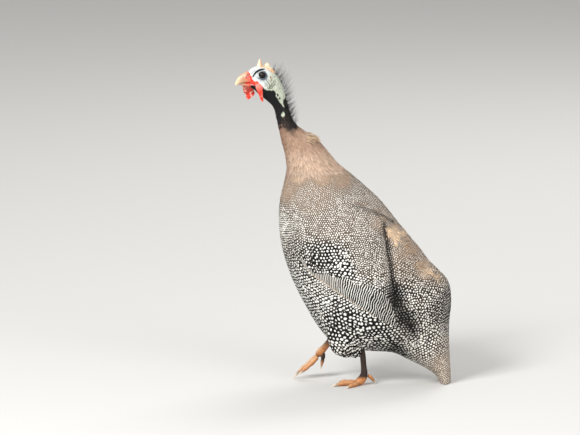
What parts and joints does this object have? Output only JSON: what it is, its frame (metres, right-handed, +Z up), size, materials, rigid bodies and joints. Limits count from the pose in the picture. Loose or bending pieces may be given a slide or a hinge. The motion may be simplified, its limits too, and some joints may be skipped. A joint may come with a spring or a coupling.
{
  "type": "helmeted guineafowl",
  "caption": "Life-size still model of a walking guineafowl, head raised, dotted plumage, horny casque, red wattles, drooping tail.",
  "frame": {"origin": "on the floor, under the middle of the model's box", "axes": "+Z up, the bird faces -Y, its left side is +X"},
  "size_m": [0.1916, 0.3358, 0.5074],
  "materials": {
    "facial_skin": "matte bare skin, white to greyish blue",
    "bare_neck": "matte black skin under short bristles",
    "cape": "soft fine feathers, pinkish brown",
    "plumage": "feathers, dark grey with white dots",
    "casque_horn": "dull bony horn, tan",
    "bill_horn": "smooth horn, red at the base and ivory at the tip",
    "wattle": "bare skin, red",
    "eyeball": "glossy, dark brown",
    "leg_scale": "scaly skin, blackish",
    "toe_scale": "scaly skin, orange brown",
    "claw_horn": "dull horn"
  },
  "bodies": {
    "root": {"bill_lower": "bill_horn", "bill_upper": "bill_horn", "casque": "casque_horn", "claw_left_hind": "claw_horn", "claw_left_inner": "claw_horn", "claw_left_middle": "claw_horn", "claw_left_outer": "claw_horn", "claw_right_hind": "claw_horn", "claw_right_inner": "claw_horn", "claw_right_middle": "claw_horn", "claw_right_outer": "claw_horn", "eye_left": "eyeball", "eye_right": "eyeball", "head": "facial_skin", "neck_lower": "cape", "neck_upper": "bare_neck", "shank_left": "leg_scale", "shank_right": "leg_scale", "tail": "plumage", "thigh_left": "plumage", "thigh_right": "plumage", "toe_left_hind": "toe_scale", "toe_left_inner": "toe_scale", "toe_left_middle": "toe_scale", "toe_left_outer": "toe_scale", "toe_right_hind": "toe_scale", "toe_right_inner": "toe_scale", "toe_right_middle": "toe_scale", "toe_right_outer": "toe_scale", "trunk": "plumage", "wattle_left": "wattle", "wattle_right": "wattle", "wing_left": "plumage", "wing_right": "plumage"}
  },
  "joints": []
}
